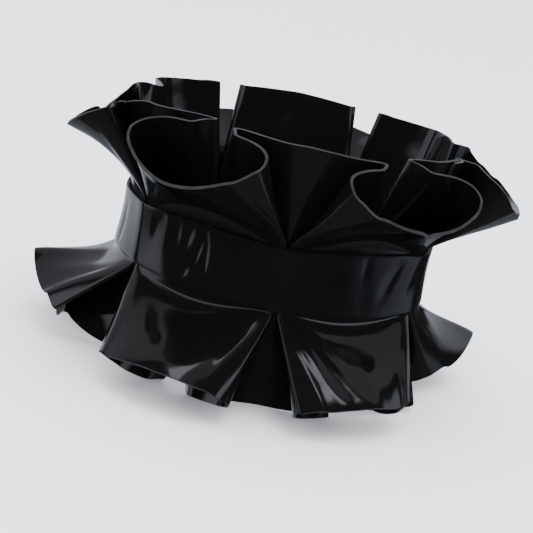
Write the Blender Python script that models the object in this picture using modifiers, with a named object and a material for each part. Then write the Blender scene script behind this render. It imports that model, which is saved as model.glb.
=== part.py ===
"""A ruff collar of sheet rubber: a faceted neck band with one box-pleated ruffle standing up from its
upper edge and one hanging from its lower edge. It is built as worn, closed round an empty neck.

The neck's axis is Z, the wearer faces -Y and the collar closes at the back, on +Y. Angles are in degrees
round Z, from the front towards the wearer's left, on +X.
"""

from collections import namedtuple

import bpy
import numpy as np

MM = 0.001

# ---- Sheet and seams
SHEET = 1.2 * MM  # the rubber's thickness
SEAM_GAP = 0.3 * MM  # what parts two layers that are glued together
LAYER = SHEET + SEAM_GAP  # from one layer's middle to the next one's

# ---- Neck band
BAND_HEIGHT = 21.4 * MM
CORNER_RADIUS = 59.0 * MM  # typical distance from the axis to the wall's middle, at a valley
CORNER_RISE = 1.1 * MM  # what a corner would reach further out, were it not soft
CORNER_SOFTNESS = 3.0  # degrees over which a corner rounds off
WAIST = 0.5 * MM  # how far the band draws in at half its height
OVERLAP = 22.0 * MM  # of its two ends at the back
OVERLAP_RAMP = 7.0  # degrees over which the upper end climbs onto the lower one
BAND_STEP = 4.0  # degrees between two columns of the band
BAND_ROWS = 5

# ---- Ruffles
PLEATS = 6
PLEAT_ANGLE = 360.0 / PLEATS
STRIP_HEIGHT = 36.6 * MM  # from the band's edge to the free rim
TUCK = 4.0 * MM  # what is glued under the band
BEND = 1.6 * MM  # height over which a strip turns from upright to its own slope
CORNER_CLEARANCE = 0.25 * MM  # from a pleat's edge to the valley's middle line
RIM_FOLD_RADIUS = 1.6 * MM  # of the hairpin behind a box, at the rim
RIM_BACK_RUN = 3.5 * MM  # from a hairpin's end to where the loop's side has turned in behind the box
CREASE_FAN = 2.8  # times that a pleat's crease widens from the seam to the rim, as it fades into the loop
CREASE_WALL = 1.4  # the wall in a tight crease, at most, over the spacing of its columns
JOIN_LAP = 10.0 * MM  # of a ruffle's two lengths, in the front valley
BACK_GAP = 2.4 * MM  # between a ruffle's ends, where the collar closes
ROWS = (0.0, 2.2 * MM, 12.0 * MM, 24.0 * MM, STRIP_HEIGHT)  # distances along a strip, from the band's edge

# Columns in half a pleat, by the fold they belong to
BOX_COLUMNS = 5
RETURN_COLUMNS = 5
FOLD_COLUMNS = 4
FINE = 33  # points of a curve before it is read at its columns

# ---- Press stud at the back
STUD_CAP_RADIUS = 5.0 * MM
STUD_CAP_HEIGHT = 1.8 * MM
STUD_SOCKET_RADIUS = 4.2 * MM
STUD_SOCKET_HEIGHT = 2.2 * MM
STUD_EDGE = 0.5 * MM  # height of a stud's plain edge, under its dome
STUD_COLUMNS = 5
STUD_STEPS = 24
SOCKET_SAG = 1.15 * MM  # what the band's curve takes across the socket, and its clearance

# The band's plan, in millimetres from the axis to the wall's middle: a flat at this angle, at the band's
# top and bottom edges, and the corner that follows it.
Flat = namedtuple("Flat", "angle top bottom corner")

FLATS = (
    Flat(-150, 59.6, 60.6, 58.7),
    Flat(-90, 53.6, 56.9, 58.6),
    Flat(-30, 54.0, 54.0, 58.4),
    Flat(30, 56.6, 56.8, 58.8),
    Flat(90, 55.4, 56.6, 58.4),
    Flat(150, 57.4, 58.2, 60.2),
)

# One pleat's loop at its free rim, in millimetres, seen from above with the box towards the reader. reach,
# side, back, the folds and valley are distances from the neck's axis, and the others run along the box from
# its middle. The loop is outermost at reach and shift, and left and right are its half widths.
# side: where the loop is widest.
# back: where its sides have turned in behind the box.
# gap: to each hairpin. fold: how far out each hairpin stands.
# valley: how far out the inner panel stands, halfway to the next pleat.
# bulge: how far the inner panel runs on from its hairpin before it turns to the valley, over the usual.
Pleat = namedtuple(
    "Pleat",
    "angle reach shift left right side_left side_right back_left back_right gap_left gap_right"
    " fold_left fold_right valley bulge_left bulge_right",
)

UPPER_PLEATS = (
    Pleat(-150, 84.6, 6.0, 34.0, 29.3, 77.0, 72.6, 69.0, 69.5, 8.5, 15.5, 61.0, 65.0, 62.6, 1.0, 1.4),
    Pleat(-90, 83.2, -1.2, 26.7, 24.9, 69.7, 69.7, 62.0, 62.0, 5.6, 3.9, 52.3, 56.5, 61.0, 1.0, 1.0),
    Pleat(-30, 83.7, 1.4, 24.5, 29.0, 71.0, 71.0, 65.8, 65.8, 4.8, 7.7, 61.9, 56.9, 63.5, 1.0, 1.0),
    Pleat(30, 86.0, 4.0, 29.5, 22.5, 73.0, 73.0, 64.5, 64.5, 13.5, 4.0, 57.5, 59.0, 64.5, 1.0, 1.0),
    Pleat(90, 83.0, -1.5, 25.5, 27.0, 70.5, 70.5, 64.5, 64.5, 5.0, 6.2, 57.0, 58.0, 61.5, 1.0, 1.0),
    Pleat(150, 86.0, 1.5, 27.5, 25.5, 72.5, 72.5, 66.0, 66.0, 6.5, 4.6, 60.0, 58.0, 64.0, 1.0, 1.0),
)

LOWER_PLEATS = (
    Pleat(-150, 90.0, -0.9, 26.4, 28.6, 70.3, 79.7, 66.5, 78.3, 6.9, 8.3, 58.8, 74.4, 56.0, 1.0, 0.4),
    Pleat(-90, 83.5, -0.4, 26.9, 27.1, 67.6, 67.6, 63.2, 63.2, 5.7, 5.3, 55.4, 58.5, 52.5, 1.0, 1.0),
    Pleat(-30, 77.7, -8.6, 27.9, 24.4, 74.7, 67.5, 63.6, 64.8, 4.1, 13.5, 56.7, 60.4, 66.2, 1.4, 1.8),
    Pleat(30, 83.0, 10.0, 14.7, 34.9, 69.2, 80.0, 63.4, 66.6, 3.9, 10.4, 50.0, 57.7, 58.8, 1.0, 0.8),
    Pleat(90, 84.5, 1.5, 26.0, 25.0, 70.0, 70.0, 64.0, 64.0, 5.6, 4.8, 57.5, 56.5, 59.0, 1.0, 1.0),
    Pleat(150, 86.5, -0.8, 25.5, 27.0, 71.5, 71.5, 65.5, 65.5, 4.9, 6.0, 58.5, 60.0, 62.0, 1.0, 1.0),
)


def polar(angle, radius):
    """X and Y of points at an angle in degrees and a distance from the neck's axis."""
    turn = np.radians(angle)
    return np.stack([radius * np.sin(turn), -radius * np.cos(turn)], axis=-1)


def between(angle, at, values):
    """Values given at some angles, blended smoothly round the neck from each to the next."""
    step = (np.asarray(angle) - at[0]) / PLEAT_ANGLE
    before = np.floor(step).astype(int)
    share = step - before
    share = share * share * (3 - 2 * share)
    values = np.array(values)
    return values[before % PLEATS] * (1 - share) + values[(before + 1) % PLEATS] * share


def band_radius(angle, height):
    """Radius of the band's wall: a hexagon with bowed flats and soft corners in the valleys, drawn in at
    its waist.

    A true hexagon's radius is its flat's over the cosine of the angle from the flat's middle. Bowing
    mixes it with the circle through its corners, until the flat's middle lies where it should.
    """
    half = PLEAT_ANGLE / 2
    from_corner = np.abs((np.asarray(angle) + half) % PLEAT_ANGLE - half)
    softened = np.sqrt(from_corner**2 + CORNER_SOFTNESS**2)
    middles = [flat.angle for flat in FLATS]
    corner = between(angle, [middle + half for middle in middles], [flat.corner * MM for flat in FLATS])
    corner = corner + CORNER_RISE
    flat = corner * np.cos(np.radians(half))
    hexagon = flat / np.cos(np.radians(half - softened))
    up = np.clip(height / BAND_HEIGHT + 0.5, 0, 1)
    top = between(angle, middles, [flat.top * MM for flat in FLATS])
    bottom = between(angle, middles, [flat.bottom * MM for flat in FLATS])
    bow = (bottom + (top - bottom) * up - flat) / (corner - flat)
    waist = WAIST * 4 * up * (1 - up)
    return hexagon * (1 - bow) + corner * bow - waist


def quarter(start, end, along_x, steps):
    """A quarter of an ellipse from start to end, which leaves along X or along Y."""
    turn = np.linspace(0, np.pi / 2, steps)[:, None]
    far, near = np.sin(turn), 1 - np.cos(turn)
    share = np.hstack([far, near] if along_x else [near, far])
    return np.array(start) + (np.array(end) - np.array(start)) * share


def hairpin(start, side, radius, steps):
    """A half circle back towards the neck: side is +1 where the strip was running towards -X."""
    turn = np.linspace(0, np.pi, steps)
    out = -side * radius * np.sin(turn)
    return np.stack([start[0] + out, start[1] - radius * (1 - np.cos(turn))], axis=1)


def shares(path):
    """How far along a path each of its points lies, from 0 to 1."""
    length = np.concatenate([[0], np.cumsum(np.linalg.norm(np.diff(path, axis=0), axis=1))])
    return length / length[-1]


def by_length(points, at):
    """Points at these shares of a path's length."""
    return np.stack([np.interp(at, shares(points), axis) for axis in points.T], axis=1)


def seam_half(middle, side, edge):
    """Half a pleat where it is glued, in three layers: box panel, return panel and half the inner panel.
    side is +1 for the half towards greater angles and -1 for the other, which is drawn mirrored.

    The path is drawn flat first, as a distance across the pleat from its middle and a depth under the
    band. Each panel lies a layer deeper, and each fold between two of them is a half circle of half a
    layer. It is then wrapped round the band: distance becomes angle, and depth is taken off the band's
    radius there.
    """
    fold = LAYER / 2
    half = np.radians(PLEAT_ANGLE / 2) * CORNER_RADIUS
    short = fold + SHEET / 2 + CORNER_CLEARANCE
    lap = JOIN_LAP / 2

    def panel(across, layer):
        return np.stack([across, np.full(len(across), -layer * LAYER)], axis=1)

    box = panel(np.linspace(0, half - short, BOX_COLUMNS), 1)
    returning = panel(np.linspace(half - short, short, RETURN_COLUMNS), 2)
    inner = panel(np.array([short, (short + half - lap) / 2, half - lap, half]), 3)
    corner = hairpin(box[-1], -1, fold, FOLD_COLUMNS)[1:-1]
    hidden = hairpin(returning[-1], 1, fold, FOLD_COLUMNS)[1:-1]

    def wrapped(flat):
        angle = np.degrees(flat[:, 0] / CORNER_RADIUS)
        return polar(angle, band_radius(middle + side * angle, edge) + flat[:, 1]) * (1, -1)

    return [wrapped(np.concatenate([box, corner, returning])), wrapped(hidden), wrapped(inner)]


def rim_half(pleat, side, valley, seam):
    """Half a pleat's free rim, seen from above: half the open loop, its hairpin and half the inner panel.

    The loop is two quarter ellipses, front to side and side to back, and a straight run to the hairpin.
    The inner panel is a cubic from the hairpin to the valley, square to the radius there. Columns fall at
    the same shares of the strip's length as at the seam, but for the crease's own, which fan out.
    """
    if side > 0:
        width, gap, fold, bulge = pleat.right, pleat.gap_right, pleat.fold_right, pleat.bulge_right
        side_at, back_at = pleat.side_right, pleat.back_right
    else:
        width, gap, fold, bulge = pleat.left, pleat.gap_left, pleat.fold_left, pleat.bulge_left
        side_at, back_at = pleat.side_left, pleat.back_left
    front = (side * pleat.shift * MM, pleat.reach * MM)
    widest = (width * MM, side_at * MM)
    back = (gap * MM + RIM_BACK_RUN, back_at * MM)
    turn = (gap * MM + RIM_FOLD_RADIUS, fold * MM + RIM_FOLD_RADIUS)
    loop = np.concatenate([
        quarter(front, widest, True, FINE),
        quarter(widest, back, False, FINE)[1:],
        [turn],
    ])
    loop_at = shares(seam[0])
    crease = slice(BOX_COLUMNS - 1, BOX_COLUMNS + FOLD_COLUMNS - 1)
    loop_at[crease] = loop_at[crease].mean() + (loop_at[crease] - loop_at[crease].mean()) * CREASE_FAN
    hidden = hairpin(turn, 1, RIM_FOLD_RADIUS, FOLD_COLUMNS)

    half = np.radians(PLEAT_ANGLE / 2)
    start = hidden[-1]
    end = np.array([np.sin(half), np.cos(half)]) * valley * MM
    reach = np.linalg.norm(end - start)
    leave, arrive = np.array([bulge * reach, 0.0]), np.array([np.cos(half), -np.sin(half)]) * reach
    t = np.linspace(0, 1, FINE)[:, None]
    inner = (
        (2 * t**3 - 3 * t**2 + 1) * start
        + (t**3 - 2 * t**2 + t) * leave
        + (3 * t**2 - 2 * t**3) * end
        + (t**3 - t**2) * arrive
    )
    return np.concatenate([by_length(loop, loop_at), hidden[1:-1], by_length(inner, shares(seam[2]))])


def turned(path, angle):
    """A path drawn with the box towards +Y, carried to the box's own angle round the neck."""
    turn = np.radians(angle)
    across = np.array([np.cos(turn), np.sin(turn)])
    outward = np.array([np.sin(turn), -np.cos(turn)])
    return path[:, :1] * across + path[:, 1:] * outward


def both_halves(left, right):
    """A pleat's path from its left valley to its right one, out of halves that start at its middle."""
    return np.concatenate([left[:0:-1] * (-1, 1), right])


def ruffle_grid(pleats, direction):
    """Points of a ruffle's middle surface, rows by columns, all round from the back.

    A strip leaves the band upright and turns within the bend's height to a straight line of its own
    slope. What the strip doesn't spend on reaching its rim point sideways, it spends on height, so it is
    equally tall all along.
    """
    edge = direction * BAND_HEIGHT / 2
    tuck, seam, rim = [], [], []
    for index, pleat in enumerate(pleats):
        tucks, seams, rims = [], [], []
        for side, valley in ((-1, pleats[index - 1].valley), (1, pleat.valley)):
            glued = seam_half(pleat.angle, side, edge)
            tucks.append(np.concatenate(seam_half(pleat.angle, side, edge - direction * TUCK)))
            seams.append(np.concatenate(glued))
            rims.append(rim_half(pleat, side, valley, glued))
        first = 0 if index == 0 else 1
        for path, halves in ((tuck, tucks), (seam, seams), (rim, rims)):
            path.append(turned(both_halves(*halves), pleat.angle)[first:])
    tuck, seam, rim = np.concatenate(tuck), np.concatenate(seam), np.concatenate(rim)

    row = np.array(ROWS)
    rise = BEND * (1 - np.exp(-row / BEND))
    along = row - rise
    slope = (rim - seam) / along[-1]
    climb = np.sqrt(1 - (slope**2).sum(axis=1))
    points = np.empty((len(row) + 1, len(seam), 3))
    points[0, :, :2] = tuck
    points[0, :, 2] = edge - direction * TUCK
    points[1:, :, :2] = seam + along[:, None, None] * slope
    points[1:, :, 2] = edge + direction * (rise[:, None] + along[:, None] * climb)
    return points


def inward(points):
    """Unit normals of a ruffle's grid, towards the neck in its inner panels."""
    normal = np.cross(np.gradient(points, axis=0), np.gradient(points, axis=1))
    normal /= np.linalg.norm(normal, axis=2, keepdims=True)
    return normal * np.sign(points[0, 0, 2])


def grid_object(name, points, material):
    """A sheet of rubber through a grid of points, as an open surface with a Solidify modifier."""
    rows, columns = points.shape[:2]
    index = np.arange(rows * columns).reshape(rows, columns)
    faces = np.stack([index[:-1, :-1], index[:-1, 1:], index[1:, 1:], index[1:, :-1]], axis=-1)
    mesh = bpy.data.meshes.new(name)
    mesh.from_pydata(points.reshape(-1, 3).tolist(), [], faces.reshape(-1, 4).tolist())
    mesh.materials.append(material)
    mesh.shade_smooth()
    obj = bpy.data.objects.new(name, mesh)
    wall = obj.modifiers.new("sheet", "SOLIDIFY")
    wall.thickness = SHEET
    wall.offset = 0.0
    wall.thickness_clamp = CREASE_WALL
    collection.objects.link(obj)
    return obj


def add_ruffle(name, pleats, direction, material):
    """A ruffle's two lengths, right and left, lapped in the front valley and parted at the back."""
    points = ruffle_grid(pleats, direction)
    for end, beside in ((0, 1), (-1, -2)):
        step = np.linalg.norm(points[1, end] - points[1, beside])
        points[:, end] += (points[:, beside] - points[:, end]) * BACK_GAP / 2 / step
    front = (points.shape[1] - 1) // 2
    right = points[:, : front + 2].copy()
    right[:, -3:] += (LAYER * inward(points))[:, front - 1 : front + 2]
    grid_object(name + "_right", right, material)
    grid_object(name + "_left", points[:, front - 1 :], material)


def add_band(material):
    """The neck band, one strip whose last stretch at the back lies over its first."""
    lap = np.degrees(OVERLAP / CORNER_RADIUS) / 2
    angle = np.linspace(-180 - lap, 180 + lap, round((360 + 2 * lap) / BAND_STEP) + 1)
    height = np.linspace(-0.5, 0.5, BAND_ROWS)[:, None] * BAND_HEIGHT
    climb = np.clip((angle - (180 - lap - OVERLAP_RAMP)) / OVERLAP_RAMP, 0, 1)
    radius = band_radius(angle, height) + LAYER * climb
    points = np.empty(radius.shape + (3,))
    points[:, :, :2] = polar(np.broadcast_to(angle, radius.shape), radius)
    points[:, :, 2] = height
    grid_object("neck_band", points, material)


def add_stud(name, radius, height, distance, outward, material):
    """Half a press stud: a plain edge under a shallow dome, its flat back against the band."""
    dome = np.linspace(np.pi / 2, 0, STUD_COLUMNS)
    profile = [(radius * np.cos(a), 0, STUD_EDGE + (height - STUD_EDGE) * np.sin(a)) for a in dome]
    profile = profile + [(radius, 0, 0), (0, 0, 0)]
    profile[0] = (0, 0, height)
    mesh = bpy.data.meshes.new(name)
    mesh.from_pydata(profile, [(i, i + 1) for i in range(len(profile) - 1)], [])
    mesh.materials.append(material)
    obj = bpy.data.objects.new(name, mesh)
    turned = obj.modifiers.new("turned", "SCREW")
    turned.steps = turned.render_steps = STUD_STEPS
    turned.use_merge_vertices = True
    turned.merge_threshold = 1e-6
    obj.location = (0, distance, 0)
    obj.rotation_euler = (np.radians(-90 if outward else 90), 0, 0)
    collection.objects.link(obj)


def rubber():
    material = bpy.data.materials.new("black_rubber")
    material.use_nodes = True
    shader = material.node_tree.nodes["Principled BSDF"]
    shader.inputs["Base Color"].default_value = (0.010, 0.010, 0.011, 1)
    shader.inputs["Roughness"].default_value = 0.12
    return material


def nickel():
    material = bpy.data.materials.new("nickel")
    material.use_nodes = True
    shader = material.node_tree.nodes["Principled BSDF"]
    shader.inputs["Base Color"].default_value = (0.62, 0.60, 0.57, 1)
    shader.inputs["Metallic"].default_value = 1.0
    shader.inputs["Roughness"].default_value = 0.22
    return material


for old in list(bpy.data.objects):
    bpy.data.objects.remove(old)
collection = bpy.data.collections.new("ruff_collar")
bpy.context.scene.collection.children.link(collection)

sheet = rubber()
metal = nickel()
add_band(sheet)
add_ruffle("upper_ruffle", UPPER_PLEATS, 1, sheet)
add_ruffle("lower_ruffle", LOWER_PLEATS, -1, sheet)
back = float(band_radius(180, 0))
add_stud("stud_cap", STUD_CAP_RADIUS, STUD_CAP_HEIGHT, back + LAYER + SHEET / 2 + SEAM_GAP, True, metal)
add_stud("stud_socket", STUD_SOCKET_RADIUS, STUD_SOCKET_HEIGHT, back - SHEET / 2 - SOCKET_SAG, False, metal)
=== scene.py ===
"""A ruff collar of glossy black sheet rubber, worn closed round an empty neck: a faceted neck band between
an upper and a lower box-pleated ruffle, with a press stud at the back. Metres, the neck's axis on Z, the
wearer facing -Y, and angles in degrees from the front towards the wearer's left."""

from collections import namedtuple
from functools import cached_property

import bpy
import numpy as np
from mathutils import Matrix, Vector


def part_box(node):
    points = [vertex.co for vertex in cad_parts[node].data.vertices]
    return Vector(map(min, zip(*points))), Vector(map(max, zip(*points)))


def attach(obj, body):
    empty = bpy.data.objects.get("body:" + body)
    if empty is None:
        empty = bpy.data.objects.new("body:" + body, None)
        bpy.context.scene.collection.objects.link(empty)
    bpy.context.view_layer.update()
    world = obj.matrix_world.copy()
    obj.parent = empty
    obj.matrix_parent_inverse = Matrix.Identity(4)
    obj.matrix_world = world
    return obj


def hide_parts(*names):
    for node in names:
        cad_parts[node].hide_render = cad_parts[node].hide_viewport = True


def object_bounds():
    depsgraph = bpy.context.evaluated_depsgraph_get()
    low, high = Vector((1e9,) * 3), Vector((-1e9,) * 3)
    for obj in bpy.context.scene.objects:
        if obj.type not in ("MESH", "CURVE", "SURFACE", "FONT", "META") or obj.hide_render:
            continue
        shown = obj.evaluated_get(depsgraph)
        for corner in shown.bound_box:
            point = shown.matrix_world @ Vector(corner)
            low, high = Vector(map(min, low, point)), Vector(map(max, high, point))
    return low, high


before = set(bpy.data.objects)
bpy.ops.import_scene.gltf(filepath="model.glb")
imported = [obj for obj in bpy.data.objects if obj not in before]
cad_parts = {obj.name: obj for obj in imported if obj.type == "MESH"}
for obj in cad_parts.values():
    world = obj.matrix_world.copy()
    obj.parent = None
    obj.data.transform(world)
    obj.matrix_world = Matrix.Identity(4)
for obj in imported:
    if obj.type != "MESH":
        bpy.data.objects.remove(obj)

cad_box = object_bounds()
MM = 0.001

# ---- Sheet, seams and band, as they are cut
SHEET = 1.0 * MM
LAYER = 1.5 * MM  # from one glued layer's middle to the next
PRESSED_SHEET = 1.2 * MM  # the sheet and what its folds take where they are glued
BAND_HEIGHT = 21.4 * MM
CORNER_RADIUS = 59.0 * MM
CORNER_RISE = 1.1 * MM  # what softening takes off a corner, given back
CORNER_SOFTNESS = 1.8  # degrees
WAIST = 0.5 * MM  # how far the band's middle is drawn in
OVERLAP = 22.0 * MM  # the band's two ends at the back
OVERLAP_RAMP = 7.0  # degrees over which the outer end climbs onto the inner one
EDGE_ROLL = 0.14 * MM  # how far the band's long edges are drawn in
EDGE_SHARPNESS = 22  # the power of height that this grows by
HELD_SHARPNESS = 6  # the power of height that the band's creases fade by towards its long edges
PLEATS = 6
PLEAT_ANGLE = 360.0 / PLEATS
STRIP_HEIGHT = 36.6 * MM
TUCK = 4.0 * MM  # the part of a ruffle's strip that lies behind the band
CORNER_CLEARANCE = 0.25 * MM  # from a glued fold to the line between two pleats
RIM_FOLD_RADIUS = 1.6 * MM
RIM_BACK_RUN = 3.5 * MM  # how far aside of an inner fold's tip the straight run into it starts
JOIN_LAP = 10.0 * MM  # a ruffle's two lengths at the front
BACK_GAP = 2.4 * MM  # a ruffle's two ends at the back

# ---- How the sheet bends
BEND_CREASE = 1.6 * MM  # height over which a strip turns from upright to its slope, at its creases
BEND_BOX = 8.0 * MM  # the same in the middle of a box
DROOP = 0.62  # how strongly the lower boxes' faces turn down again towards the rim
CREASE_SPREAD = 1.1  # how strongly a crease fans out towards the rim
CREASE_REACH = 6.0 * MM
RIM_EASE = 1.3 * MM  # what the rim's curve is eased over
EASE_STEP = 0.2 * MM
EASE_WIDTH = 4  # where the easing's bell is cut off, in its own spreads
INSIDE_ROOM = 0.85  # share of a fold's radius that the wall may take on its inside
LEAST_CURVE = 1.0  # per metre, below which the sheet counts as straight

# ---- How uneven the sheet is
RUFFLE_UNEVENNESS = 0.07 * MM
BAND_UNEVENNESS = 0.035 * MM
BAND_PHASE, UPPER_PHASE, LOWER_PHASE = 0.7, 0.4, 1.9  # where the unevenness of each starts, in radians
HELD_HEIGHT = 3 * MM  # below this the band holds a ruffle even
FREE_RUN = 12 * MM  # height over which it comes free
CREASE_RUN = 6 * MM  # height over which a ruffle's creases come in

# ---- Grid
BOX_COLUMNS = 30
RETURN_COLUMNS = 28
FOLD_COLUMNS = 9
INNER_COLUMNS = 16
LAP_COLUMNS = 7
FINE = 65  # points of a curve before it is read at its columns
BAND_COLUMNS = 760
BAND_ROWS = 25
TURNED_COLUMNS = 48
ROWS = MM * np.array([
    0, 0.35, 0.7, 1.1, 1.6, 2.2, 3, 4, 5.2, 6.6, 8.2, 10, 11.8, 13.6, 15.4, 17.2, 19, 20.8, 22.6, 24.4, 26.2,
    28, 29.8, 31.6, 33.4, 35, 36.6,
])
SHARP_SHEET = 60  # degrees between faces that shade as an edge
SHARP_METAL = 40

# ---- Press stud, as profiles of radius and height in millimetres
CAP_PROFILE = (
    (0, 0), (4.9, 0), (5.0, 0.15), (5.0, 0.5), (4.9, 0.75), (4.6, 0.95), (4.2, 1.0), (3.9, 1.15), (3.2, 1.5),
    (2.2, 1.72), (1.1, 1.79), (0, 1.8),
)
SOCKET_PROFILE = (
    (0, 0), (4.1, 0), (4.2, 0.1), (4.2, 0.5), (4.05, 0.7), (3.4, 0.8), (3.0, 1.2), (2.9, 1.9), (2.6, 2.15),
    (2.1, 2.2), (1.8, 2.0), (1.7, 1.2), (0, 1.1),
)

# ---- View and room
VIEW_DISTANCE = 0.480
VIEW_AZIMUTH, VIEW_ELEVATION, VIEW_ROLL = -63.6, 14.34, 11.36
PICTURE = 533  # its width and height in pixels
FOCAL_LENGTH = 1268  # in the picture's pixels
VIEW_CENTRE = (279.4, 236.3)  # the pixel that the lens looks at
SENSOR = 36
TOWARD_VIEWER = (-0.896, -0.444, 0)
VIEWERS_RIGHT = (0.444, -0.896, 0)
FLOOR_GAP = 0.0006
FLOOR_SIZE = 40
EVEN_LIGHT = (3.1, 3.2, 3.3, 1)
BRIGHT = (0.88, 0.94, 1.02, 1)
GREY = (0.38, 0.40, 0.43, 1)
DARK = (0.027, 0.026, 0.027, 1)
WARM_GROUND = (0.13, 0.115, 0.10, 1)
COOL_GROUND = (0.36, 0.40, 0.47, 1)

# A bright patch of the room: its light, and where it starts, is full, is last full and ends, in height and
# in turn. First an upright strip, a shelf, a far shelf and a doorway, then the lamps.
Patch = namedtuple("Patch", "light height turn")
WALL_PATCHES = (
    Patch((1.1, 1.16, 1.25, 1), (-0.45, 0.05, 0.55, 0.70), (-1.74, -1.64, -1.30, -1.16)),
    Patch((1.1, 1.15, 1.22, 1), (0.28, 0.33, 0.42, 0.50), (-1.45, -1.20, 0.40, 0.60)),
    Patch((1.5, 1.58, 1.7, 1), (0.14, 0.20, 0.29, 0.34), (1.00, 1.12, 1.42, 1.52)),
    Patch((0.48, 0.55, 0.66, 1), (-0.48, -0.40, -0.14, -0.06), (1.20, 1.44, 1.66, 1.80)),
)
LAMPS = (
    Patch((3.4, 3.5, 3.7, 1), (0.83, 0.86, 0.89, 0.92), (1.14, 1.24, 1.34, 1.44)),
    Patch((2.8, 2.85, 3.0, 1), (0.940, 0.952, 2, 3), (-1.75, -1.50, -0.50, -0.25)),
)

# A flat of the band: the angle of its middle, and in millimetres from the neck's axis its middle's top and
# bottom and the corner after it.
Flat = namedtuple("Flat", "angle top bottom corner")
FLATS = (
    Flat(-150, 59.6, 60.6, 58.7),
    Flat(-90, 53.6, 56.9, 58.6),
    Flat(-30, 54.0, 54.0, 58.4),
    Flat(30, 56.6, 56.8, 58.8),
    Flat(90, 55.4, 56.6, 58.4),
    Flat(150, 57.4, 58.2, 60.2),
)

# A pleat's row. angle is its box's, bulge and flat are shares, and the rest are millimetres that say where
# its free rim runs, seen from above with the box ahead. Its front stands reach from the neck's axis and shift
# aside. Its widest points lie left and right of the middle, and side from the axis. Its returns bend inwards
# back from the axis, and its inner folds lie fold from it and come within gap of the middle. The valley to
# the next pleat lies valley from the axis. bulge: how strongly the inner layer runs aside as it leaves its
# fold. flat: 0 where the face is a quarter of an ellipse, 1 where it is straight.
Pleat = namedtuple(
    "Pleat",
    "angle reach shift left right side_left side_right back_left back_right gap_left gap_right "
    "fold_left fold_right valley bulge_left bulge_right flat_left flat_right",
)
UPPER_PLEATS = (
    Pleat(-150, 83.2, 16, 14, 30.6, 71, 68, 62, 67.5, 4, 15.5, 55, 65, 62.6, 1, 1.4, 0.9, 0.05),
    Pleat(-90, 83.2, -1.2, 26.7, 24.9, 69.7, 69.7, 62, 62, 5.6, 3.9, 52.3, 56.5, 61, 1, 1, 0, 0),
    Pleat(-30, 83.7, 1.4, 24.5, 29, 71, 71, 65.8, 65.8, 4.8, 7.7, 61.9, 56.9, 63.5, 1, 1, 0, 0),
    Pleat(30, 86, 4, 29.5, 22.5, 73, 73, 64.5, 64.5, 13.5, 4, 57.5, 59, 64.5, 1, 1, 0, 0),
    Pleat(90, 83, -1.5, 25.5, 27, 70.5, 70.5, 64.5, 64.5, 5, 6.2, 57, 58, 61.5, 1, 1, 0, 0),
    Pleat(150, 86, 1.5, 27.5, 25.5, 72.5, 72.5, 66, 66, 6.5, 4.6, 60, 58, 64, 1, 1, 0, 0),
)
LOWER_PLEATS = (
    Pleat(-150, 91, -7.5, 26.4, 26.5, 70.3, 76.2, 66.5, 76, 6.9, 8.3, 58.8, 74, 56, 1, 0.4, 0, 0.75),
    Pleat(-90, 83.6, 2.6, 23.2, 28.6, 72, 70.6, 64.2, 63.2, 5.7, 5.3, 55.4, 58.5, 52.5, 1, 1, 0.2, 0),
    Pleat(-30, 79.3, 1, 28.2, 17.8, 73.4, 74.4, 63.6, 66, 4.1, 10.5, 56.7, 60.4, 66.2, 1.4, 1.8, 0.15, 0.6),
    Pleat(30, 84, 13, 13.4, 23, 63.6, 65, 58.5, 59, 3.9, 8, 50, 57.7, 58.8, 1, 0.8, 0.55, 0),
    Pleat(90, 84.5, 1.5, 26, 25, 70, 70, 64, 64, 5.6, 4.8, 57.5, 56.5, 59, 1, 1, 0, 0),
    Pleat(150, 86.5, -0.8, 25.5, 27, 71.5, 71.5, 65.5, 65.5, 4.9, 6, 58.5, 60, 62, 1, 1, 0, 0),
)

# A soft trough or ridge in a sheet. angle: degrees round the neck, for a ruffle its box's. across:
# millimetres along the strip from there. up: millimetres above the band's middle, for a ruffle along the
# strip from the band. depth: millimetres, in where positive. long and wide: its half lengths, in
# millimetres. lean: degrees from upright.
Crease = namedtuple("Crease", "angle up depth long wide lean across", defaults=(0,))
BAND_CREASES = (
    Crease(-111.0, 6.0, 0.60, 8.0, 2.8, 4),
    Crease(-106.5, 7.0, -0.30, 6.0, 2.2, 2),
    Crease(-102.5, 6.0, 0.62, 7.0, 2.2, -6),
    Crease(-97.5, 6.0, 0.56, 6.0, 2.2, 8),
    Crease(-91.6, 4.5, 0.46, 8.0, 1.3, 10),
    Crease(-88.6, 0.5, 0.44, 7.5, 1.2, -9),
    Crease(-95.5, -6.5, 0.50, 2.6, 1.5, 20),
    Crease(-61.2, 1.0, 0.30, 8.5, 1.0, 5),
    Crease(-27.9, 7.5, 0.20, 4.0, 1.6, 0),
    Crease(-14.0, 4.5, 0.40, 9.0, 2.2, 24),
    Crease(-6.5, 3.0, -0.30, 10.0, 2.4, 18),
    Crease(31.0, 3.0, 0.45, 8.0, 1.8, -8),
    Crease(48.0, -3.0, 0.35, 9.0, 1.6, 12),
    Crease(86.0, 5.0, 0.55, 8.0, 1.7, 6),
    Crease(97.0, 2.0, 0.40, 7.0, 1.5, -10),
    Crease(118.0, -4.0, 0.36, 9.0, 2.0, 7),
    Crease(140.0, 4.0, 0.36, 8.0, 2.0, -5),
    Crease(-136.0, -3.0, 0.45, 9.0, 2.0, 8),
    Crease(-147.5, 3.4, 0.50, 9.0, 1.6, -4),
    Crease(-156.0, 4.0, 0.32, 8.0, 1.8, -6),
)
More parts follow.
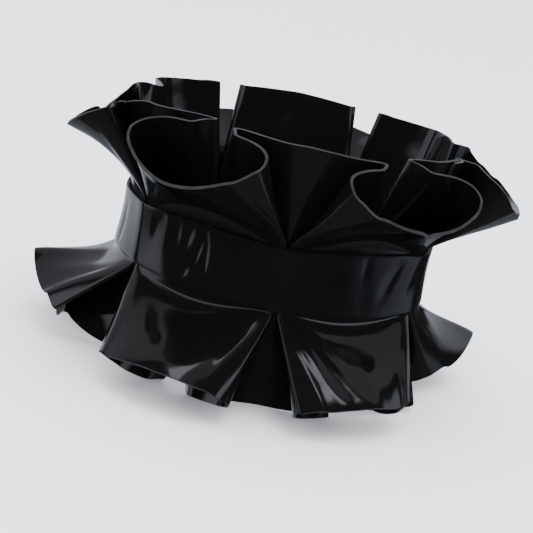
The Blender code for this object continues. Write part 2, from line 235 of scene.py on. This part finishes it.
UPPER_CREASES = (
    Crease(-150, 12, 0.30, 11, 2.6, -16, 22),
    Crease(-150, 20, -0.22, 12, 3.0, -24, 14),
    Crease(-150, 9, 0.25, 8, 2.0, -9, 37),
    Crease(-90, 12, 0.26, 10, 2.4, 15, -23),
    Crease(-90, 11, 0.32, 11, 2.2, -19, 24),
    Crease(-90, 30, 0.20, 5, 6.0, 60, -6),
    Crease(-30, 13, 0.24, 10, 2.6, 12, -22),
    Crease(-30, 12, 0.30, 10, 2.2, -22, 23),
    Crease(-30, 36, -0.90, 3.2, 1.7, 0, -1),
    Crease(-30, 30, 0.25, 4.0, 5.0, 55, -8),
    Crease(30, 14, 0.34, 12, 2.4, 20, -22),
    Crease(30, 12, 0.24, 9, 2.2, -14, 24),
    Crease(30, 27, 0.28, 8, 3.4, 35, 9),
    Crease(90, 12, 0.30, 11, 2.4, 18, -23),
    Crease(90, 24, -0.24, 9, 3.2, -30, 5),
    Crease(90, 13, 0.26, 9, 2.0, -12, 24),
    Crease(150, 11, 0.28, 10, 2.2, 14, -24),
    Crease(150, 13, 0.34, 12, 2.8, -24, 21),
)
LOWER_CREASES = (
    Crease(-150, 13, 0.26, 11, 2.4, -17, 23),
    Crease(-150, 11, 0.50, 1.8, 6.5, -10, 7),
    Crease(-150, 22, -0.24, 12, 3.2, -28, 12),
    Crease(-90, 13, 0.34, 12, 2.4, 19, -24),
    Crease(-90, 13, 0.30, 11, 2.2, -20, 23),
    Crease(-90, 24, 0.16, 9, 3.0, -34, 14),
    Crease(-30, 14, 0.22, 13, 1.5, 12, -24),
    Crease(-30, 18, -0.16, 12, 1.3, 18, -19),
    Crease(-30, 21, 0.24, 13, 1.7, 24, -15),
    Crease(-30, 25, -0.18, 10, 1.6, 30, -9),
    Crease(-30, 12, 0.30, 11, 2.4, -12, 22),
    Crease(30, 13, 0.30, 11, 2.6, 15, -20),
    Crease(30, 12, 0.24, 10, 2.2, -16, 24),
    Crease(90, 12, 0.28, 11, 2.4, 16, -23),
    Crease(90, 26, 0.24, 7, 3.6, 40, -6),
    Crease(90, 12, 0.32, 10, 2.2, -21, 24),
    Crease(150, 13, 0.32, 12, 2.6, 22, -22),
    Crease(150, 11, 0.26, 9, 2.2, -12, 25),
    Crease(150, 29, -0.26, 5, 4.0, 0, 4),
)


def polar(angle, radius):
    """X and Y of points at an angle in degrees and a distance from the neck's axis."""
    turn = np.radians(angle)
    return np.stack([radius * np.sin(turn), -radius * np.cos(turn)], axis=-1)


def between(angle, at, values):
    """Values given every sixth of a turn, blended round the neck by 3s^2 - 2s^3 from each to the next."""
    step = (np.asarray(angle) - at[0]) / PLEAT_ANGLE
    before = np.floor(step).astype(int)
    share = step - before
    share = share * share * (3 - 2 * share)
    values = np.array(values)
    return values[before % PLEATS] * (1 - share) + values[(before + 1) % PLEATS] * share


def band_radius(angle, height):
    """Radius of the band's wall: a hexagon's, mixed with the circle through its corners until each flat's
    middle lies where its table row says, with corners softened by a root of squares and a waist of a
    parabola."""
    half = PLEAT_ANGLE / 2
    from_corner = np.abs((np.asarray(angle) + half) % PLEAT_ANGLE - half)
    softened = np.sqrt(from_corner**2 + CORNER_SOFTNESS**2)
    middles = [flat.angle for flat in FLATS]
    corners = [middle + half for middle in middles]
    corner = between(angle, corners, [flat.corner * MM for flat in FLATS]) + CORNER_RISE
    flat = corner * np.cos(np.radians(half))
    hexagon = flat / np.cos(np.radians(half - softened))
    up = np.clip(height / BAND_HEIGHT + 0.5, 0, 1)
    top = between(angle, middles, [flat.top * MM for flat in FLATS])
    bottom = between(angle, middles, [flat.bottom * MM for flat in FLATS])
    bow = (bottom + (top - bottom) * up - flat) / (corner - flat)
    return hexagon * (1 - bow) + corner * bow - WAIST * 4 * up * (1 - up)


def quarter(start, end, along_x, flat, steps):
    """A quarter of an ellipse from start to end, which leaves along X or along Y, mixed with its chord."""
    turn = np.linspace(0, np.pi / 2, steps)[:, None]
    far, near = np.sin(turn), 1 - np.cos(turn)
    share = np.hstack([far, near] if along_x else [near, far])
    share = share * (1 - flat) + np.linspace(0, 1, steps)[:, None] * flat
    return np.array(start) + (np.array(end) - np.array(start)) * share


def hairpin(start, side, radius, steps):
    """A half circle that turns back towards the neck: side is +1 where the strip was running towards -X."""
    turn = np.linspace(0, np.pi, steps)
    across = start[0] - side * radius * np.sin(turn)
    return np.stack([across, start[1] - radius * (1 - np.cos(turn))], axis=1)


def lengths(path):
    """Distance along a path from its start to each of its points."""
    return np.concatenate([[0], np.cumsum(np.linalg.norm(np.diff(path, axis=0), axis=1))])


def shares(path):
    """The same distances as shares of the whole."""
    along = lengths(path)
    return along / along[-1]


def by_length(points, at):
    """Points at these shares of a path's length."""
    return np.stack([np.interp(at, shares(points), axis) for axis in points.T], axis=1)


def seam_half(middle, side, edge):
    """Half a pleat where it is glued, in three layers joined by half circles. It is drawn flat as distance
    across and depth, then wrapped round the band: distance becomes angle, and depth comes off the radius.
    middle: the box's angle. side: -1 or 1. edge: the height to wrap it at."""
    fold = LAYER / 2
    half = np.radians(PLEAT_ANGLE / 2) * CORNER_RADIUS
    short = fold + PRESSED_SHEET / 2 + CORNER_CLEARANCE
    lap = JOIN_LAP / 2

    def panel(across, layer):
        return np.stack([across, np.full(len(across), -layer * LAYER)], axis=1)

    box = panel(np.linspace(0, half - short, BOX_COLUMNS), 1)
    returning = panel(np.linspace(half - short, short, RETURN_COLUMNS), 2)
    before_lap = np.linspace(short, half - lap, INNER_COLUMNS)
    inner = panel(np.concatenate([before_lap, np.linspace(half - lap, half, LAP_COLUMNS)[1:]]), 3)
    corner = hairpin(box[-1], -1, fold, FOLD_COLUMNS)[1:-1]
    hidden = hairpin(returning[-1], 1, fold, FOLD_COLUMNS)[1:-1]

    def wrapped(flat):
        angle = np.degrees(flat[:, 0] / CORNER_RADIUS)
        return polar(angle, band_radius(middle + side * angle, edge) + flat[:, 1]) * (1, -1)

    return [wrapped(np.concatenate([box, corner, returning])), wrapped(hidden), wrapped(inner)]


def rim_half(pleat, side, valley, seam):
    """Half a pleat's free rim from above: two quarter ellipses, a straight run, a half circle and a cubic
    to the valley. Columns fall at the seam's shares of length, pushed away from the crease by
    x exp(-(x / reach)^2). Where the face is straight, its corner is the column at the crease."""
    if side > 0:
        width, gap, fold, bulge = pleat.right, pleat.gap_right, pleat.fold_right, pleat.bulge_right
        side_at, back_at, flat = pleat.side_right, pleat.back_right, pleat.flat_right
    else:
        width, gap, fold, bulge = pleat.left, pleat.gap_left, pleat.fold_left, pleat.bulge_left
        side_at, back_at, flat = pleat.side_left, pleat.back_left, pleat.flat_left
    front = (side * pleat.shift * MM, pleat.reach * MM)
    widest = (width * MM, side_at * MM)
    back = (gap * MM + RIM_BACK_RUN, back_at * MM)
    turn = (gap * MM + RIM_FOLD_RADIUS, fold * MM + RIM_FOLD_RADIUS)
    face = quarter(front, widest, True, flat, FINE)
    loop = np.concatenate([face, quarter(widest, back, False, 0.0, FINE)[1:], [turn]])
    along = lengths(seam[0])
    crease = along[BOX_COLUMNS - 1 : BOX_COLUMNS + FOLD_COLUMNS - 1].mean()
    off = along - crease
    along = along + CREASE_SPREAD * off * np.exp(-((off / CREASE_REACH) ** 2))
    at = along / along[-1]
    if flat > 0:
        corner = shares(loop)[FINE - 1]
        at = np.interp(at, [0, crease / lengths(seam[0])[-1], 1], [0, corner, 1])
    hidden = hairpin(turn, 1, RIM_FOLD_RADIUS, FOLD_COLUMNS)

    half = np.radians(PLEAT_ANGLE / 2)
    start = hidden[-1]
    end = np.array([np.sin(half), np.cos(half)]) * valley * MM
    reach = np.linalg.norm(end - start)
    leave, arrive = np.array([bulge * reach, 0.0]), np.array([np.cos(half), -np.sin(half)]) * reach
    t = np.linspace(0, 1, FINE)[:, None]
    inner = (
        (2 * t**3 - 3 * t**2 + 1) * start
        + (t**3 - 2 * t**2 + t) * leave
        + (3 * t**2 - 2 * t**3) * end
        + (t**3 - t**2) * arrive
    )
    return np.concatenate([by_length(loop, at), hidden[1:-1], by_length(inner, shares(seam[2]))])


def turned(path, angle):
    """A path drawn with the box towards +Y, carried to the box's own angle round the neck."""
    turn = np.radians(angle)
    across = np.array([np.cos(turn), np.sin(turn)])
    outward = np.array([np.sin(turn), -np.cos(turn)])
    return path[:, :1] * across + path[:, 1:] * outward


def both_halves(left, right):
    """A whole pleat from its halves, the left one turned over."""
    return np.concatenate([left[:0:-1] * (-1, 1), right])


def eased(path, spread):
    """A path smoothed by a Gaussian over its own length: it is read evenly, averaged, and read back where
    it was. Past each end it is carried on by its own points, turned round that end."""
    along = lengths(path)
    even = np.arange(0, along[-1], EASE_STEP)
    points = np.stack([np.interp(even, along, axis) for axis in path.T], axis=1)
    wide = int(EASE_WIDTH * spread / EASE_STEP)
    bell = np.exp(-0.5 * (np.arange(-wide, wide + 1) * EASE_STEP / spread) ** 2)
    bell /= bell.sum()
    before, after = 2 * points[0] - points[wide:0:-1], 2 * points[-1] - points[-2 : -wide - 2 : -1]
    padded = np.concatenate([before, points, after])
    smooth = np.stack([np.convolve(axis, bell, "valid") for axis in padded.T], axis=1)
    return np.stack([np.interp(along, even, axis) for axis in smooth.T], axis=1)


def normals(points):
    """Unit normals of a grid: its step between rows crossed with its step between columns."""
    normal = np.cross(np.gradient(points, axis=0), np.gradient(points, axis=1))
    return normal / np.linalg.norm(normal, axis=2, keepdims=True)


def pressed(along, up, creases, starts):
    """Depth of a sheet's creases: each is depth exp(-(a / long)^2 - (b / wide)^2), with a and b the
    distances along and across it, turned by its lean. starts: how far along the sheet each one's angle
    lies."""
    depth = np.zeros(np.broadcast(along, up).shape)
    for crease, start in zip(creases, starts):
        across = along - start - crease.across * MM
        rise = up - crease.up * MM
        lean = np.radians(crease.lean)
        a = rise * np.cos(lean) + across * np.sin(lean)
        b = across * np.cos(lean) - rise * np.sin(lean)
        fall = (a / (crease.long * MM)) ** 2 + (b / (crease.wide * MM)) ** 2
        depth += crease.depth * MM * np.exp(-fall)
    return depth


def uneven(along, up, size, phase):
    """The slow unevenness of sheet rubber: three crossed sines of unlike wavelengths, 30, 18 and 10 mm."""
    a, b = along / MM, up / MM
    return size * (
        np.sin(a * 0.203 + b * 0.061 + phase)
        + 0.6 * np.sin(a * 0.117 - b * 0.331 + 2.1 * phase)
        + 0.35 * np.sin(a * 0.571 + b * 0.187 - phase)
    )


def shell(name, points, material, edge_material):
    """A sheet of rubber with cut edges: the grid moved half its thickness each way along its normals, less
    where a fold is tighter than that, and joined round its border. Its UV map is in metres along and up the
    sheet."""
    rows, columns = points.shape[:2]
    normal = normals(points)
    step = np.gradient(points, axis=1)
    size = np.linalg.norm(step, axis=2, keepdims=True)
    tangent = step / size
    curve = (np.gradient(tangent, axis=1) / size * normal).sum(axis=2, keepdims=True)
    room = INSIDE_ROOM / np.maximum(np.abs(curve), LEAST_CURVE)
    taken = np.minimum(SHEET / 2, room)
    front = points + normal * np.where(curve > 0, taken, SHEET / 2)
    back = points - normal * np.where(curve < 0, taken, SHEET / 2)

    count = rows * columns
    index = np.arange(count).reshape(rows, columns)
    quads = np.stack([index[:-1, :-1], index[1:, :-1], index[1:, 1:], index[:-1, 1:]], axis=-1)
    quads = quads.reshape(-1, 4)
    border = np.concatenate([index[0, :-1], index[:-1, -1], index[-1, :0:-1], index[:0:-1, 0]])
    after = np.roll(border, -1)
    edge = np.stack([border, after, after + count, border + count], axis=1)
    faces = np.concatenate([quads, quads[:, ::-1] + count, edge])
    corners = np.concatenate([front.reshape(-1, 3), back.reshape(-1, 3)])

    mesh = bpy.data.meshes.new(name)
    mesh.vertices.add(len(corners))
    mesh.vertices.foreach_set("co", corners.ravel())
    mesh.loops.add(faces.size)
    mesh.loops.foreach_set("vertex_index", faces.ravel())
    mesh.polygons.add(len(faces))
    mesh.polygons.foreach_set("loop_start", np.arange(0, faces.size, 4))
    mesh.materials.append(material)
    mesh.materials.append(edge_material)
    mesh.polygons.foreach_set("material_index", np.repeat([0, 1], [2 * len(quads), len(edge)]))
    mesh.update(calc_edges=True)
    mesh.polygons.foreach_set("use_smooth", np.ones(len(faces), bool))
    mesh.set_sharp_from_angle(angle=np.radians(SHARP_SHEET))
    along = np.cumsum(size[rows // 2, :, 0])
    climbs = np.linalg.norm(np.diff(points, axis=0), axis=2).mean(axis=1)
    up = np.concatenate([[0], np.cumsum(climbs)])
    flat = np.stack([np.tile(along, rows), np.repeat(up, columns)], axis=1)
    layer = mesh.uv_layers.new(name="along_and_up")
    layer.uv.foreach_set("vector", np.concatenate([flat, flat])[faces.ravel()].ravel())
    obj = bpy.data.objects.new(name, mesh)
    bpy.context.scene.collection.objects.link(obj)
    return obj


def ruffle_grid(pleats, direction):
    """Middle surface of a ruffle all round from the back. direction is 1 for one that stands and -1 for one
    that hangs. A strip leaves the band upright, by a height b tanh(r / b) at r along it that soon stops
    growing, turns onto the straight line to its rim point, and spends on height what it doesn't spend
    sideways. A hanging box's face also bulges by a cubic, s^2 (1 - s)."""
    edge = direction * BAND_HEIGHT / 2
    tuck, seam, rim, middleness = [], [], [], []
    for index, pleat in enumerate(pleats):
        tucks, seams, rims = [], [], []
        for side, valley in ((-1, pleats[index - 1].valley), (1, pleat.valley)):
            glued = seam_half(pleat.angle, side, edge)
            tucks.append(np.concatenate(seam_half(pleat.angle, side, edge - direction * TUCK)))
            seams.append(np.concatenate(glued))
            rims.append(rim_half(pleat, side, valley, glued))
        first = 0 if index == 0 else 1
        for path, halves in ((tuck, tucks), (seam, seams), (rim, rims)):
            path.append(turned(both_halves(*halves), pleat.angle)[first:])
        across = np.arange(len(rims[0]))
        box = np.where(across < BOX_COLUMNS, np.cos(np.pi / 2 * across / BOX_COLUMNS) ** 2, 0)
        middleness.append(np.concatenate([box[:0:-1], box])[first:])
    tuck, seam, rim = np.concatenate(tuck), np.concatenate(seam), np.concatenate(rim)
    rim = eased(rim, RIM_EASE)
    middleness = np.concatenate(middleness)
    bend = BEND_CREASE + (BEND_BOX - BEND_CREASE) * middleness

    sloped = STRIP_HEIGHT - BEND_CREASE
    top = BEND_CREASE + np.sqrt(sloped**2 - ((rim - seam) ** 2).sum(axis=1))
    rise = bend * np.tanh(ROWS[:, None] / bend)
    share = (ROWS[:, None] - rise) / (ROWS[-1] - rise[-1])
    along = ROWS[:, None] / ROWS[-1]
    out = share + (DROOP if direction < 0 else 0) * middleness * along**2 * (1 - along)
    points = np.empty((len(ROWS) + 1, len(seam), 3))
    points[0, :, :2] = tuck
    points[0, :, 2] = edge - direction * TUCK
    points[1:, :, :2] = seam + out[:, :, None] * (rim - seam)
    points[1:, :, 2] = edge + direction * (rise + share * (top - rise[-1]))
    return points


def ruffle(name, pleats, creases, direction, phase, rubber, cut):
    """A ruffle's two lengths, lapped inside the front valley and parted at the back."""
    points = ruffle_grid(pleats, direction)
    for end, beside in ((0, 1), (-1, -2)):
        step = np.linalg.norm(points[1, end] - points[1, beside])
        points[:, end] += (points[:, beside] - points[:, end]) * BACK_GAP / 2 / step
    normal = normals(points)
    along = np.cumsum(np.linalg.norm(np.gradient(points, axis=1), axis=2)[len(ROWS) // 2])
    up = np.concatenate([[0], ROWS])[:, None]
    free = np.clip((up - HELD_HEIGHT) / FREE_RUN, 0, 1)
    columns = (len(along) - 1) / 360
    start = pleats[0].angle - PLEAT_ANGLE / 2
    middles = [along[int((crease.angle - start) * columns)] for crease in creases]
    depth = free * uneven(along, up, RUFFLE_UNEVENNESS, phase)
    depth = depth + np.clip(up / CREASE_RUN, 0, 1) * pressed(along, up, creases, middles) * direction
    points = points + normal * depth[..., None]

    # The right length's end steps a layer inwards over one lap, and lies inside the left one's from there.
    front = (points.shape[1] - 1) // 2
    lap = LAP_COLUMNS - 1
    right = points[:, : front + lap + 1].copy()
    inward = normals(points) * np.sign(direction) * LAYER
    share = np.clip((np.arange(-2 * lap, lap + 1) + 2 * lap) / lap, 0, 1)[None, :, None]
    right[:, -3 * lap - 1 :] += inward[:, front - 2 * lap : front + lap + 1] * share
    left = points[:, front - lap :]
    for side, grid in (("right", right), ("left", left)):
        if direction < 0:
            grid = grid[:, ::-1]
        piece = shell(f"{name}_sheet_{side}", grid, rubber, cut)
        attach(piece, "root")
        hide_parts(f"{name}_{side}")


def neck_band(rubber, cut):
    """The neck band, one strip round the neck by angle and height, its last stretch a layer out over its
    first. Its rows crowd to its long edges by a sine, and the edges draw in by a high power of height."""
    lap = np.degrees(OVERLAP / CORNER_RADIUS) / 2
    angle = np.linspace(-180 - lap, 180 + lap, BAND_COLUMNS)
    height = np.sin(np.linspace(-np.pi / 2, np.pi / 2, BAND_ROWS))[:, None] * BAND_HEIGHT / 2
    climb = np.clip((angle - (180 - lap - OVERLAP_RAMP)) / OVERLAP_RAMP, 0, 1)
    radius = band_radius(angle, height) + LAYER * climb
    points = np.empty(radius.shape + (3,))
    points[:, :, :2] = polar(np.broadcast_to(angle, radius.shape), radius)
    points[:, :, 2] = height
    to_edge = np.abs(2 * height / BAND_HEIGHT)
    along = np.radians(angle) * CORNER_RADIUS
    starts = [np.radians(crease.angle) * CORNER_RADIUS for crease in BAND_CREASES]
    depth = pressed(along, height, BAND_CREASES, starts) * (1 - to_edge**HELD_SHARPNESS)
    depth = depth + uneven(along, height, BAND_UNEVENNESS, BAND_PHASE)
    depth = depth + EDGE_ROLL * to_edge**EDGE_SHARPNESS
    points[:, :, :2] -= polar(np.broadcast_to(angle, radius.shape), depth)
    piece = shell("neck_band_sheet", points[:, ::-1], rubber, cut)
    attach(piece, "root")
    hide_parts("neck_band")


def turned_piece(name, profile, centre, outward, material):
    """A profile of radius and height, turned round its own axis, which points to +Y where outward and to -Y
    where not, with its foot at centre on Y."""
    profile = np.array(profile) * MM
    steps = TURNED_COLUMNS
    turn = np.linspace(0, 2 * np.pi, steps, endpoint=False)
    radius = profile[1:-1, :1]
    rise = np.broadcast_to(profile[1:-1, 1:], (len(radius), steps))
    ring = np.stack([radius * np.cos(turn), rise, radius * np.sin(turn)], axis=-1)
    points = np.concatenate([[[0, profile[0, 1], 0]], ring.reshape(-1, 3), [[0, profile[-1, 1], 0]]])
    points[:, 1] *= 1 if outward else -1
    points += (0, centre, 0)
    index = 1 + np.arange(ring.shape[0] * steps).reshape(-1, steps)
    beside = np.roll(index, -1, axis=1)
    quads = np.stack([index[:-1], beside[:-1], beside[1:], index[1:]], axis=-1).reshape(-1, 4)
    first = np.stack([np.zeros(steps, int), beside[0], index[0]], axis=1)
    last = np.stack([np.full(steps, len(points) - 1), index[-1], beside[-1]], axis=1)
    faces = quads.tolist() + first.tolist() + last.tolist()
    if not outward:
        faces = [face[::-1] for face in faces]
    mesh = bpy.data.meshes.new(name)
    mesh.from_pydata(points.tolist(), [], faces)
    mesh.materials.append(material)
    mesh.shade_smooth()
    mesh.set_sharp_from_angle(angle=np.radians(SHARP_METAL))
    obj = bpy.data.objects.new(name, mesh)
    bpy.context.scene.collection.objects.link(obj)
    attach(obj, "root")
    return obj


MIX_FIRST, MIX_SECOND, MIX_RESULT = 6, 7, 2  # a mix node's sockets for colours


class Tree:
    """A node tree, with short ways to add its nodes. Each but add gives the new node's output."""

    def __init__(self, tree):
        self.tree = tree

    def fill(self, socket, value):
        """Links another node's output to a socket, or sets the socket to a value."""
        if isinstance(value, bpy.types.NodeSocket):
            self.tree.links.new(value, socket)
        else:
            socket.default_value = value

    def add(self, kind, inputs=(), **settings):
        node = self.tree.nodes.new(kind)
        for key, value in settings.items():
            setattr(node, key, value)
        for key, value in dict(inputs).items():
            self.fill(node.inputs[key], value)
        return node

    def math(self, operation, *values):
        return self.add("ShaderNodeMath", enumerate(values), operation=operation).outputs["Value"]

    def mix(self, share, first, second):
        """The first colour where share is 0, the second where it is 1."""
        node = self.add("ShaderNodeMix", data_type="RGBA")
        self.fill(node.inputs["Factor"], share)
        self.fill(node.inputs[MIX_FIRST], first)
        self.fill(node.inputs[MIX_SECOND], second)
        return node.outputs[MIX_RESULT]

    def remap(self, value, start, end, low=0.0, high=1.0, **settings):
        """A value between start and end, carried to between low and high and held there."""
        inputs = {"Value": value, "From Min": start, "From Max": end, "To Min": low, "To Max": high}
        return self.add("ShaderNodeMapRange", inputs, **settings).outputs["Result"]


class Finish(Tree):
    """A material, worked out from the place on the object. Its patterns' scales are in cells a metre."""

    def __init__(self, name):
        self.material = bpy.data.materials.new(name)
        self.material.use_nodes = True
        super().__init__(self.material.node_tree)

    @cached_property
    def place(self):
        """The place on the object, in metres."""
        return self.add("ShaderNodeTexCoord").outputs["Object"]

    def shade(self, key, value):
        """Sets or links one of the shader's own inputs."""
        self.fill(self.tree.nodes["Principled BSDF"].inputs[key], value)

    def noise(self, scale, detail, roughness=0.5):
        inputs = {"Vector": self.place, "Scale": scale, "Detail": detail, "Roughness": roughness}
        return self.add("ShaderNodeTexNoise", inputs).outputs["Fac"]

    def colours(self, value, *stops):
        """The colours between two stops, each a position and a colour."""
        node = self.add("ShaderNodeValToRGB", {"Fac": value})
        for element, (position, colour) in zip(node.color_ramp.elements, stops):
            element.position, element.color = position, colour
        return node.outputs["Color"]

    def bump(self, height, strength, distance, **inputs):
        inputs.update(Height=height, Strength=strength, Distance=distance)
        return self.add("ShaderNodeBump", inputs).outputs["Normal"]


def rubber_material():
    """Polished black sheet rubber: smears in its gloss, a faint orange peel, and a few specks of dust."""
    finish = Finish("black_sheet_rubber")
    finish.shade("IOR", 1.52)
    grain = finish.add("ShaderNodeTexVoronoi", {"Vector": finish.place, "Scale": 420.0, "Randomness": 1.0})
    specks = finish.remap(grain.outputs["Distance"], 0.05, 0.035)
    chosen = finish.remap(finish.noise(160.0, 1.0), 0.66, 0.68)
    dust = finish.math("MULTIPLY", specks, chosen)
    finish.shade("Base Color", finish.mix(dust, (0.0024, 0.0024, 0.0026, 1), (0.06, 0.06, 0.06, 1)))
    smears = finish.remap(finish.noise(45.0, 3.0, 0.6), 0.35, 0.7, 0.055, 0.12)
    finish.shade("Roughness", finish.math("MULTIPLY_ADD", dust, 0.5, smears))
    slow = finish.bump(finish.noise(70.0, 2.0), 0.16, 0.0006)
    finish.shade("Normal", finish.bump(finish.noise(900.0, 1.0), 0.08, 0.00006, Normal=slow))
    return finish.material


def cut_edge_material():
    """The sheet's cut edge: the same rubber unpolished, so it scatters more light, a little uneven along
    the cut."""
    finish = Finish("cut_rubber_edge")
    drag = finish.noise(260.0, 3.0)
    stops = (0.3, (0.0085, 0.0088, 0.0094, 1)), (0.75, (0.020, 0.0205, 0.022, 1))
    finish.shade("Base Color", finish.colours(drag, *stops))
    finish.shade("Roughness", 0.42)
    finish.shade("Normal", finish.bump(drag, 0.3, 0.0002))
    return finish.material


def nickel_material():
    """Nickel plate with fine turning marks and slight tarnish."""
    finish = Finish("plated_nickel")
    spots = finish.noise(500.0, 4.0)
    stops = (0, (0.50, 0.48, 0.45, 1)), (1, (0.70, 0.68, 0.65, 1))
    finish.shade("Base Color", finish.colours(spots, *stops))
    finish.shade("Metallic", 1.0)
    finish.shade("Roughness", finish.remap(spots, 0, 1, 0.15, 0.32))
    return finish.material


def pale_floor(height):
    """A wide matt floor that the gloss doesn't show."""
    bpy.ops.mesh.primitive_plane_add(size=FLOOR_SIZE, location=(0, 0, height))
    floor = bpy.context.object
    floor.name = "floor"
    pale = Finish("pale_floor")
    pale.shade("Base Color", (0.86, 0.875, 0.89, 1))
    pale.shade("Roughness", 0.7)
    floor.data.materials.append(pale.material)
    floor.visible_glossy = False


def room():
    """An even light. The gloss shows a room instead: dark towards the viewer, with walls at the sides, a
    ceiling and bright patches. Each is a smoothed step in height, which is the way's own Z, and in turn,
    the angle round the neck's axis from the viewer to the viewer's right in radians."""
    world = bpy.data.worlds.new("studio")
    bpy.context.scene.world = world
    world.use_nodes = True
    tree = Tree(world.node_tree)
    background = world.node_tree.nodes["Background"]

    def step(value, start, full):
        return tree.remap(value, start, full, interpolation_type="SMOOTHSTEP")

    def both(first, second):
        return tree.math("MULTIPLY", first, second)

    def patch(value, start, full, last, end):
        return both(step(value, start, full), step(value, end, last))

    def lit(colour, patches):
        for spot in patches:
            share = both(patch(height, *spot.height), patch(turn, *spot.turn))
            colour = tree.mix(share, colour, spot.light)
        return colour

    def along(direction):
        node = tree.add("ShaderNodeVectorMath", {0: way, 1: direction}, operation="DOT_PRODUCT")
        return node.outputs["Value"]

    way = tree.add("ShaderNodeTexCoord").outputs["Generated"]
    height = tree.add("ShaderNodeSeparateXYZ", {0: way}).outputs["Z"]
    turn = tree.math("ARCTAN2", along(VIEWERS_RIGHT), along(TOWARD_VIEWER))
    spread = tree.math("ABSOLUTE", turn)

    # A wall at each side, from its own turn on, and a bright one far behind.
    left_wall = tree.mix(step(height, 0.05, 0.30), BRIGHT, GREY)
    right_wall = tree.mix(patch(height, 0.04, 0.20, 0.47, 0.55), DARK, BRIGHT)
    colour = tree.mix(step(turn, -1.82, -1.93), DARK, left_wall)
    colour = tree.mix(step(turn, 1.76, 1.86), colour, right_wall)
    colour = tree.mix(step(spread, 2.86, 2.96), colour, BRIGHT)
    # The ceiling's edge slopes on the right wall, and the patches lie on the walls.
    slope = tree.math("MULTIPLY_ADD", turn, 0.24, height)
    colour = tree.mix(both(step(turn, 1.50, 1.58), step(slope, 1.130, 1.160)), colour, GREY)
    colour = lit(colour, WALL_PATCHES)
    colour = tree.mix(step(height, 0.92, 0.95), colour, GREY)
    # What lies below is warm, and cooler far behind.
    below = tree.mix(patch(spread, 2.10, 2.35, 2.75, 2.90), WARM_GROUND, COOL_GROUND)
    colour = tree.mix(step(height, -0.25, -0.60), colour, below)
    colour = lit(colour, LAMPS)
    glossy = tree.add("ShaderNodeLightPath").outputs["Is Glossy Ray"]
    tree.fill(background.inputs["Color"], tree.mix(glossy, EVEN_LIGHT, colour))
    background.inputs["Strength"].default_value = 1.0


def soft_light(name, size, energy, place):
    """A rectangle of light aimed at the collar. size: its width and height. energy: watts."""
    light = bpy.data.lights.new(name, "AREA")
    light.shape = "RECTANGLE"
    light.size, light.size_y = size
    light.energy = energy
    obj = bpy.data.objects.new(name, light)
    obj.location = place
    obj.rotation_euler = (-Vector(place)).to_track_quat("-Z", "Y").to_euler()
    obj.visible_glossy = False
    bpy.context.scene.collection.objects.link(obj)


def camera():
    """The view: from the wearer's front right, a little above, with the picture turned by its roll."""
    azimuth, elevation, roll = np.radians((VIEW_AZIMUTH, VIEW_ELEVATION, VIEW_ROLL))
    out = np.cos(elevation)
    back = Vector((np.sin(azimuth) * out, -np.cos(azimuth) * out, np.sin(elevation)))
    right = Vector((np.cos(azimuth), np.sin(azimuth), 0))
    up = back.cross(right)
    x = right * np.cos(roll) + up * np.sin(roll)
    y = up * np.cos(roll) - right * np.sin(roll)
    lens = bpy.data.cameras.new("view")
    lens.sensor_width = SENSOR
    lens.lens = FOCAL_LENGTH / PICTURE * SENSOR
    lens.shift_x = (PICTURE / 2 - VIEW_CENTRE[0]) / PICTURE
    lens.shift_y = (VIEW_CENTRE[1] - PICTURE / 2) / PICTURE
    lens.clip_start, lens.clip_end = 0.01, 100
    obj = bpy.data.objects.new("view", lens)
    obj.matrix_world = Matrix((x, y, back)).transposed().to_4x4()
    obj.location = back * VIEW_DISTANCE
    bpy.context.scene.collection.objects.link(obj)
    bpy.context.scene.camera = obj


rubber = rubber_material()
cut = cut_edge_material()
nickel = nickel_material()
neck_band(rubber, cut)
ruffle("upper_ruffle", UPPER_PLEATS, UPPER_CREASES, 1, UPPER_PHASE, rubber, cut)
ruffle("lower_ruffle", LOWER_PLEATS, LOWER_CREASES, -1, LOWER_PHASE, rubber, cut)

low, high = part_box("stud_cap")
cap = turned_piece("stud_cap_metal", CAP_PROFILE, low[1], True, nickel)
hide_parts("stud_cap")
low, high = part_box("stud_socket")
socket = turned_piece("stud_socket_metal", SOCKET_PROFILE, high[1], False, nickel)
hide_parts("stud_socket")

pale_floor(cad_box[0][2] - FLOOR_GAP)
room()
soft_light("overhead", size=(0.5, 0.5), energy=6, place=(-0.25, -0.3, 1.0))
camera()
